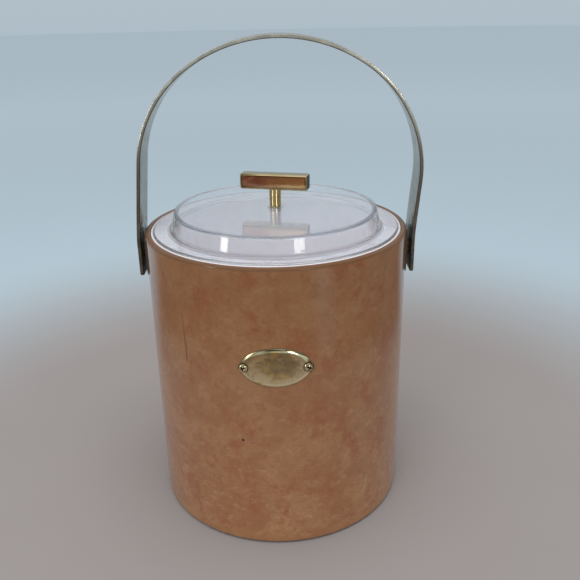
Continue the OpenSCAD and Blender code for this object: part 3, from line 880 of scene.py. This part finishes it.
def bail_side(lean):
    """The band's middle line on one side, in the arch's plane, from above the pivot hole to the crown."""
    middle = BAIL_HALF - BAIL_T / 2
    centre = Vector((lean + SHOULDER_X, SHOULDER_Z))
    reach = Vector((BAIL_HALF, LUG_HIGH)) - centre
    tangent = atan2(reach.y, reach.x) + acos(SHOULDER_R / reach.length)
    shoulder = arc(centre, SHOULDER_R - BAIL_T / 2, tangent, CROWN)
    kink = Vector((middle, LUG_HIGH - BAIL_T / 2 * tan(tangent / 2)))
    foot = Vector((middle, LUG_PATCH))
    bend = []
    for t in (0.0, 0.25, 0.5, 0.75, 1.0):
        near, far = foot.lerp(kink, 0.2 + 0.8 * t), kink.lerp(shoulder[0], 0.6 * t)
        bend.append(near.lerp(far, t))
    return [foot] + bend + shoulder


def bail_line():
    """The whole middle line, from above the right pivot hole over to the left one."""
    crown_r = SHOULDER_R + hypot(SHOULDER_X, CROWN_DROP) - BAIL_T / 2
    top = arc(Vector((BAIL_LEAN, SHOULDER_Z - CROWN_DROP)), crown_r, CROWN, pi - CROWN)
    left = [Vector((-p.x, p.y)) for p in bail_side(-BAIL_LEAN)]
    return bail_side(BAIL_LEAN) + top[1:-1] + left[::-1]


def bail_end(side):
    """Rings of points of one flat end, from the pivot hole out to the band's edges."""
    half = BAIL_W / 2
    down, round_corner, along = 6, 6, 7          # faces down a side, round a corner and along the foot
    inner = half - LUG_CORNER
    floor_z = LUG_CORNER - LUG_LOW
    sides = [LUG_PATCH + (floor_z - LUG_PATCH) * k / down for k in range(1, down + 1)]
    bend = [pi / 2 * k / round_corner for k in range(1, round_corner + 1)]
    edge = [(y, LUG_PATCH) for y in BAIL_ACROSS] + [(-half, z) for z in sides]
    edge += [(-inner - LUG_CORNER * cos(t), floor_z - LUG_CORNER * sin(t)) for t in bend]
    edge += [(-inner + 2 * inner * k / along, -LUG_LOW) for k in range(1, along + 1)]
    edge += [(inner + LUG_CORNER * sin(t), floor_z - LUG_CORNER * cos(t)) for t in bend]
    edge += [(half, z) for z in sides[-2::-1]]
    x = side * (BAIL_HALF - BAIL_T / 2)
    rings = []
    for share in (0.0, 0.08, 0.3, 0.62, 1.0):
        points = [(p.normalized() * PIVOT_BORE_R).lerp(p, share) for p in map(Vector, edge)]
        rings.append([Vector((x, p.x, PIVOT_Z + p.y)) for p in points])
    return rings


def handle_band():
    """The flat bail: its middle surface, with both pivot holes, given its thickness and round edges."""
    verts, faces = [], []
    for side in (1, -1):
        rings = bail_end(side)
        count, start = len(rings[0]), len(verts)
        verts += [p for ring in rings for p in ring]
        faces += bands(range(start, len(verts), count), count)
    count, start = len(BAIL_ACROSS), len(verts)
    verts += [Vector((p.x, y, PIVOT_Z + p.y)) for p in bail_line() for y in BAIL_ACROSS]
    faces += bands(range(start, len(verts), count), count, False)
    piece = new_piece("handle_band_metal", verts, faces, weld=1e-6)
    thick = piece.modifiers.new("thickness", "SOLIDIFY")
    thick.thickness = BAIL_T
    thick.offset = 0
    thick.use_even_offset = True
    round_edges(piece, BAIL_EDGE, 4)
    bpy.context.view_layer.update()
    return dress(shaded(settle(piece), radians(40)), "handle_metal", "handle", "handle_band")


# ---------- pieces bent to the wall ----------

def wall_point(angle, u, v, h, z):
    """A point on the wall, u along it and v up from its middle, h proud; angle 0 faces -Y."""
    around = angle + u / BODY_R
    r = BODY_R + h
    return Vector((r * sin(around), -r * cos(around), z + v))


def bent_plate(name, outline, edge, angle, z):
    """A plate bent to the wall. outline(d) gives its outline drawn in by d, and edge lists (d, height)
    from the wall up and in."""
    rows = [(share, 0, 0) for share in (0.35, 0.7)] + [(1, d, h) for d, h in edge]
    rows += [(share, *edge[-1]) for share in (0.8, 0.6, 0.4, 0.2)]
    rings = [[wall_point(angle, u * share, v * share, h, z) for u, v in outline(d)] for share, d, h in rows]
    ends = [[wall_point(angle, 0, 0, h, z)] for h in (0, edge[-1][1])]
    return skin(name, [ends[0], *rings, ends[1]], smooth_angle=radians(50))


def plaque():
    """The oval plate: a low edge, a bowed band round it and a flat brushed face."""
    def oval(d):
        return [((PLAQUE_L / 2 - d) * cos(t), (PLAQUE_H / 2 - d) * sin(t)) for t in turns(144)]

    band_w, steep, shallow = 2.8 * MM, radians(38), radians(6)
    bow_r = band_w / (sin(steep) - sin(shallow))
    start = PLAQUE_T - bow_r * (cos(shallow) - cos(steep))
    edge = [(0, 0), (0, 0.4 * start), (0.03 * MM, 0.85 * start)]
    steps = 10
    for k in range(steps + 1):
        tilt = steep + (shallow - steep) * k / steps
        edge.append((0.05 * MM + bow_r * (sin(steep) - sin(tilt)),
                     start + bow_r * (cos(tilt) - cos(steep))))
    edge += [(band_w + 0.15 * MM, PLAQUE_T), (band_w + 0.5 * MM, PLAQUE_T)]
    piece = bent_plate("plaque_plate", oval, edge, 0, PLAQUE_Z)
    return dress(piece, "plaque_brass", "bucket", "plaque")


def plaque_screw(side):
    """A small round-head screw at one end of the plaque."""
    name = "plaque_screw_" + SIDES[side]
    d, h, shank_r, shank_l, point, overlap = 6 * MM, 1.7 * MM, 1.3 * MM, 5.5 * MM, 1.2 * MM, 0.1 * MM
    corners = [(0, -shank_l), (shank_r * 0.5, -shank_l), (shank_r, point - shank_l),
               (shank_r, overlap), (0, overlap)]
    piece = joined(screw_head(name + "_brass", d, h), lathe("shank", corners, 36))
    twist = radians(20 if side < 0 else -28)
    angle = side * PLAQUE_SCREW_ANGLE
    lift = Matrix.Translation((0, 0, BODY_R + PLAQUE_T + 0.05 * MM))
    placed(piece, Matrix.Translation((0, 0, PLAQUE_Z)) @ Matrix.Rotation(angle, 4, "Z")
           @ Matrix.Rotation(pi / 2, 4, "X") @ lift @ Matrix.Rotation(twist, 4, "Z"))
    return dress(piece, "plaque_brass", "bucket", name)


# ---------- pivots ----------

def pivot_plate(side):
    """The square backing plate with round corners, bent to the wall."""
    name = SIDES[side] + "_pivot_plate"
    low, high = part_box(name)
    half, r, roll = (high.z - low.z) / 2, 2.5 * MM, 0.35 * MM
    square = divided(rounded([(half, -half, r), (half, half, r), (-half, half, r), (-half, -half, r)]),
                     2.5 * MM)

    def outline(d):
        return [(p.x * (1 - d / half), p.y * (1 - d / half)) for p in square]

    edge = [(0, 0), (0, PLATE_T - roll), (0.1 * MM, PLATE_T - 0.1 * MM), (roll, PLATE_T)]
    piece = bent_plate(name + "_metal", outline, edge, side * pi / 2, (low.z + high.z) / 2)
    return dress(piece, "handle_metal", "bucket", name)


def along_x(piece, x, side):
    """Lays a piece that stands on the origin along X, outwards from x, at the pivots' height."""
    turn = Matrix.Rotation(side * pi / 2, 4, "Y")
    return placed(piece, Matrix.Translation((side * x, 0, PIVOT_Z)) @ turn)


def pivot_collar(side):
    """The turned spacer between plate and bail, with a fine groove."""
    name = SIDES[side] + "_pivot_collar"
    low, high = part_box(name)
    length, r, groove = high.x - low.x, (high.z - low.z) / 2, 0.25 * MM
    corners = [
        (PIVOT_BORE_R, 0), (r, 0, 0.2 * MM), (r, 0.42 * length), (r - groove, 0.5 * length),
        (r, 0.58 * length), (r, length, 0.2 * MM), (PIVOT_BORE_R, length)
    ]
    piece = along_x(lathe(name + "_brass", corners, 72), min(abs(low.x), abs(high.x)), side)
    return dress(piece, "polished_brass", "bucket", name)


def pivot_screw(side):
    """The shouldered pivot screw with its cross-recess head."""
    name = SIDES[side] + "_pivot_screw"
    head_d, head_h, thread_r, journal_r, overlap = 10 * MM, 1.7 * MM, 2 * MM, 3 * MM, 0.2 * MM
    inner, outer = sorted(abs(corner.x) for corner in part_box(name))
    seat = outer - head_h
    tip, shoulder = inner - seat, BODY_R + PLATE_T - seat
    corners = [(0, tip), (thread_r, tip, 0.3 * MM), (thread_r, shoulder),
               (journal_r, shoulder, 0.1 * MM), (journal_r, overlap), (0, overlap)]
    piece = joined(screw_head(name + "_brass", head_d, head_h), lathe("shank", corners, 48))
    placed(piece, Matrix.Rotation(radians(25 * side), 4, "Z"))
    return dress(along_x(piece, seat, side), "polished_brass", "bucket", name)


# ---------- build ----------

vinyl_wrap()
liner()
base_pad()
lid_cover()
knob_bar()
knob_stem()
knob_washer()
knob_screw()
handle_band()
plaque()
for side in (-1, 1):
    plaque_screw(side)
    pivot_plate(side)
    pivot_collar(side)
    pivot_screw(side)

# the pieces inside are shown as they are in CAD
HIDDEN = {"shell_tube": "board", "base_disc": "board", "insulation_sleeve": "foam",
          "insulation_disc": "foam"}
for side in SIDES.values():
    HIDDEN[side + "_pivot_washer"] = HIDDEN[side + "_pivot_nut"] = "steel"
for name, slot in HIDDEN.items():
    paint(frame["nodes"][name], slot)


# ---------- studio ----------

def floor():
    """A plain pale floor: warm grey round the object, pale blue further off."""
    s = Surface("studio_floor", Roughness=0.8, Specular_IOR_Level=0.0)
    off = s.off_axis()
    far = s.ramp(off, 0.26, 0.62)
    haze = s.ramp(s.cloud(9, 3), 0.3, 0.7, 0.0, 0.35)
    near_color = s.blend(haze, (0.362, 0.340, 0.340), (0.342, 0.322, 0.322))
    far_color = s.blend(s.ramp(off, 0.8, 2.6), (0.50, 0.625, 0.715), (0.61, 0.74, 0.84))
    s.set(Base_Color=s.blend(far, near_color, far_color))
    s.set(Normal=s.relief(s.cloud(500, 3), 0.05 * MM, 0.3))
    rings = [turned(0, 0)] + [turned(r, 0, 96) for r in (0.2, 0.5, 1, 2, 5, 12)]
    piece = skin("studio_floor", rings)
    piece.data.materials.append(s.material)


def only_mirrored(card, material):
    """Shows a card in reflections only."""
    card.data.materials.append(material)
    card.visible_camera = False
    card.visible_diffuse = False
    card.visible_transmission = False
    card.visible_shadow = False


def sector(s, start, end, soft):
    """1 between two azimuths round Z, with soft ends. Azimuth 0 is in front, a quarter turn is right."""
    azimuth = s.calc("ARCTAN2", s.x, s.times(s.y, -1.0))
    return s.times(s.ramp(azimuth, start, start + soft), s.ramp(azimuth, end - soft, end, 1, 0))


def strip(name, start, end, steps, *edges):
    """A strip round Z between two azimuths, whose two edges are given by radius and height."""
    azimuths = [start + (end - start) * k / steps for k in range(steps + 1)]
    verts = [(r * sin(t), -r * cos(t), z) for r, z in edges for t in azimuths]
    return new_piece(name, verts, bands((0, steps + 1), steps + 1, False))


def flag(name, start, end):
    """A dark floor that only mirrors show: a flat sector between two azimuths in degrees, with soft
    edges."""
    near, far, height = 0.27, 2.3, 4 * MM
    start, end = radians(start), radians(end)
    s = Surface(name, Roughness=0.8)
    boards = s.ramp(s.cloud(12, 3, 0.5, 0.0, (1, 5, 1)), 0.3, 0.7)
    s.set(Base_Color=s.blend(boards, (0.13, 0.075, 0.052), (0.20, 0.122, 0.084)))
    off = s.off_axis()
    s.set(Alpha=s.times(sector(s, start, end, radians(18)), s.ramp(off, near, near + 0.12),
                        s.ramp(off, far - 0.9, far, 1, 0)))
    only_mirrored(strip(name, start, end, 24, (near, height), (far, height)), s.material)


def dark_room():
    """The dim upper room in front of the object, that only mirrors show: an upright bent band with soft
    edges."""
    radius, low, high, end = 2.3, 0.5, 2.1, radians(115)
    s = Surface("dark_room", Roughness=0.8)
    tone = s.ramp(s.cloud(2.5, 3, 0.5, 0.0, (1, 1, 0.5)), 0.35, 0.65)
    s.set(Base_Color=s.blend(tone, (0.020, 0.016, 0.016), (0.100, 0.080, 0.070)))
    s.set(Alpha=s.times(sector(s, -end, end, radians(25)), s.ramp(s.z, low, low + 0.35),
                        s.ramp(s.z, high - 0.7, high, 1, 0)))
    only_mirrored(strip("dark_room", -end, end, 36, (radius, low), (radius, high)), s.material)


def softbox(name, azimuth, elevation, distance, size, power, color, only_shine):
    """A soft area light that looks at the object, placed by degrees: azimuth 0 is in front, 90 on the
    right. With only_shine it makes highlights and nothing else; without, it makes none."""
    data = bpy.data.lights.new(name, "AREA")
    data.shape = "RECTANGLE"
    data.size, data.size_y = size
    data.energy = power
    data.color = color
    lamp = add_object(name, data)
    a, e = radians(azimuth), radians(elevation)
    out = Vector((sin(a) * cos(e), -cos(a) * cos(e), sin(e)))
    lamp.location = UP * 0.18 + out * distance
    lamp.rotation_mode = "QUATERNION"
    lamp.rotation_quaternion = (-out).to_track_quat("-Z", "Y")
    lamp.visible_camera = False
    lamp.visible_diffuse = not only_shine
    lamp.visible_glossy = only_shine


def sky():
    """Even pale blue light from all round, a little brighter above."""
    world = bpy.data.worlds.new("studio_sky")
    bpy.context.scene.world = world
    world.use_nodes = True
    s = Nodes(world.node_tree)
    height = s.node("SeparateXYZ", s.node("TexCoord").outputs["Generated"]).outputs[2]
    color = s.blend(s.ramp(height, -0.1, 0.9, smooth=False), (0.400, 0.496, 0.564), (0.72, 0.69, 0.66))
    s.plug(s.nodes["Background"], Color=color, Strength=1.0)


def camera():
    """The camera at the photograph's angle."""
    place = Vector((0.01236, -0.47216, 0.34907))
    yaw, pitch, roll = radians(-0.389), radians(22.371), radians(1.067)
    data = bpy.data.cameras.new("camera")
    data.sensor_width = 36
    data.lens = 42.74
    data.clip_start = 0.01
    made = add_object("camera", data)
    turn = (Matrix.Rotation(-yaw, 4, "Z") @ Matrix.Rotation(pi / 2 - pitch, 4, "X")
            @ Matrix.Rotation(-roll, 4, "Z"))
    made.matrix_world = Matrix.Translation(place) @ turn
    bpy.context.scene.camera = made


floor()
sky()
flag("flag_left", -126, 40)
flag("flag_right", 36, 138)
dark_room()
softbox("window_left", -54, 13, 1.5, (0.20, 0.60), 3.2, (1.0, 0.98, 0.95), True)
softbox("window_right", 24.9, 12.3, 1.6, (0.30, 0.28), 2.4, (1.0, 0.98, 0.95), True)
softbox("window_middle", -26, 17.7, 1.6, (0.40, 0.26), 0.27, (0.86, 0.96, 1.0), True)
softbox("ceiling", 10, 78, 1.6, (1.3, 1.3), 10, (1.0, 0.96, 0.93), False)
softbox("fill", -25, 38, 2.2, (1.6, 1.2), 9, (1.0, 0.97, 0.95), False)
camera()
bpy.context.scene.view_settings.view_transform = "Standard"
